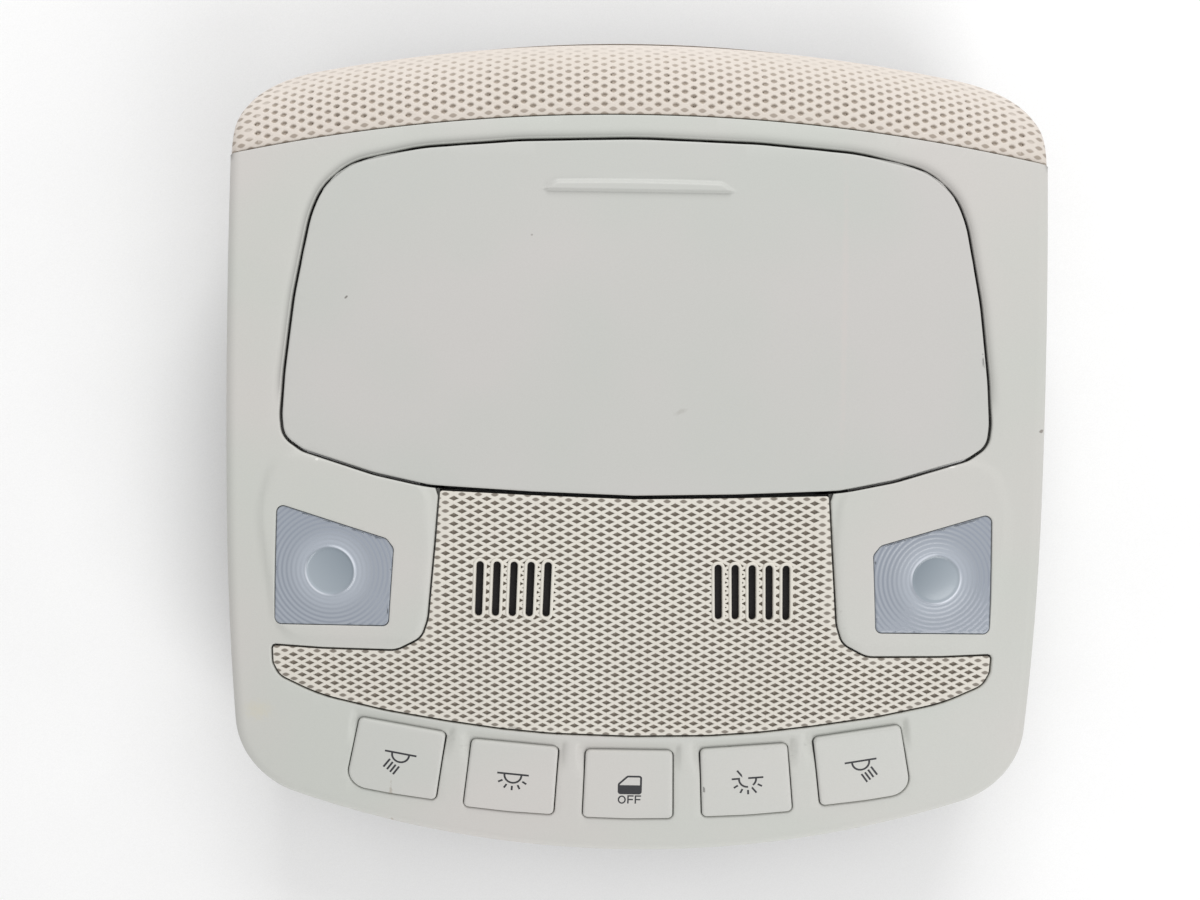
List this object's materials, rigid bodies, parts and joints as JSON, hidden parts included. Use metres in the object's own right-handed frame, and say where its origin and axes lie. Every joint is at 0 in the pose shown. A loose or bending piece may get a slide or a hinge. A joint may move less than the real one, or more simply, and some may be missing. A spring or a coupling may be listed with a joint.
{
  "type": "car overhead console with map lamps",
  "caption": "Moulded overhead console: rolled perforated rear band, drop-down glasses bin with hinge, damper and latch, map lamps, slotted microphone grille and push buttons.",
  "frame": {"origin": "centre of the plane of the four screw boss feet, the lowest plane of the part", "axes": "+X to the right and +Y towards the rear band as the face is seen, +Z out of the visible face"},
  "size_m": [0.24, 0.256, 0.0631],
  "materials": {
    "console_shell": "satin",
    "band_plastic": "matt",
    "inner_plastic": "matt",
    "soft_rubber": "matt",
    "plated_steel": "plated",
    "gear_plastic": "matt",
    "lamp_lens": "clear, rippled",
    "reflector_white": "bright",
    "bulb_glass": "clear",
    "board_green": "coated"
  },
  "bodies": {
    "console": {"bezel": "console_shell", "rear_band": "band_plastic", "mic_grille": "band_plastic", "carrier_frame": "inner_plastic", "hinge_pin_left": "plated_steel", "hinge_pin_right": "plated_steel", "damper_body": "inner_plastic", "door_bumpers": "soft_rubber", "latch_housing": "inner_plastic", "latch_spring": "plated_steel", "lens_left": "lamp_lens", "lens_right": "lamp_lens", "reflector_left": "reflector_white", "reflector_right": "reflector_white", "bulb_left": "bulb_glass", "bulb_right": "bulb_glass", "bulb_holder_left": "inner_plastic", "bulb_holder_right": "inner_plastic", "tact_switches": "inner_plastic", "circuit_board": "board_green", "plug_header": "gear_plastic", "switch_housing": "inner_plastic", "housing_screws": "plated_steel", "microphone_left": "plated_steel", "microphone_right": "plated_steel", "roof_clips": "plated_steel"},
    "door": {"door_panel": "console_shell", "glasses_bin": "inner_plastic", "bin_liner": "soft_rubber", "striker_plate": "plated_steel"},
    "damper_pinion": {"damper_gear": "gear_plastic"},
    "latch_nose": {"latch_plunger": "inner_plastic"},
    "key_1": {"button_1": "console_shell"},
    "key_2": {"button_2": "console_shell"},
    "key_3": {"button_3": "console_shell"},
    "key_4": {"button_4": "console_shell"},
    "key_5": {"button_5": "console_shell"}
  },
  "joints": [
    {"name": "door_hinge", "type": "hinge", "parent": "console", "child": "door", "pos_m": [0, -0.0305, 0.0505], "axis": [1, 0, 0], "range_deg": [0, 72]},
    {"name": "pinion_spin", "type": "hinge", "parent": "console", "child": "damper_pinion", "pos_m": [0, -0.03388, 0.02917], "axis": [1, 0, 0], "range_deg": [-206, 0]},
    {"name": "latch_slide", "type": "slide", "parent": "console", "child": "latch_nose", "axis": [0, 0, -1], "range_m": [0, 0.002], "stiffness_N_per_m": 400, "springref_m": -0.001, "deforming": ["latch_spring"]},
    {"name": "press_1", "type": "slide", "parent": "console", "child": "key_1", "axis": [0, 0.3777, -0.9259], "range_m": [0, 0.0015], "stiffness_N_per_m": 600, "springref_m": -0.0005},
    {"name": "press_2", "type": "slide", "parent": "console", "child": "key_2", "axis": [0, 0.3777, -0.9259], "range_m": [0, 0.0015], "stiffness_N_per_m": 600, "springref_m": -0.0005},
    {"name": "press_3", "type": "slide", "parent": "console", "child": "key_3", "axis": [0, 0.3777, -0.9259], "range_m": [0, 0.0015], "stiffness_N_per_m": 600, "springref_m": -0.0005},
    {"name": "press_4", "type": "slide", "parent": "console", "child": "key_4", "axis": [0, 0.3777, -0.9259], "range_m": [0, 0.0015], "stiffness_N_per_m": 600, "springref_m": -0.0005},
    {"name": "press_5", "type": "slide", "parent": "console", "child": "key_5", "axis": [0, 0.3777, -0.9259], "range_m": [0, 0.0015], "stiffness_N_per_m": 600, "springref_m": -0.0005}
  ],
  "couplings": [
    {"joint": "pinion_spin", "follows": "door_hinge", "ratio": -2.8571}
  ]
}
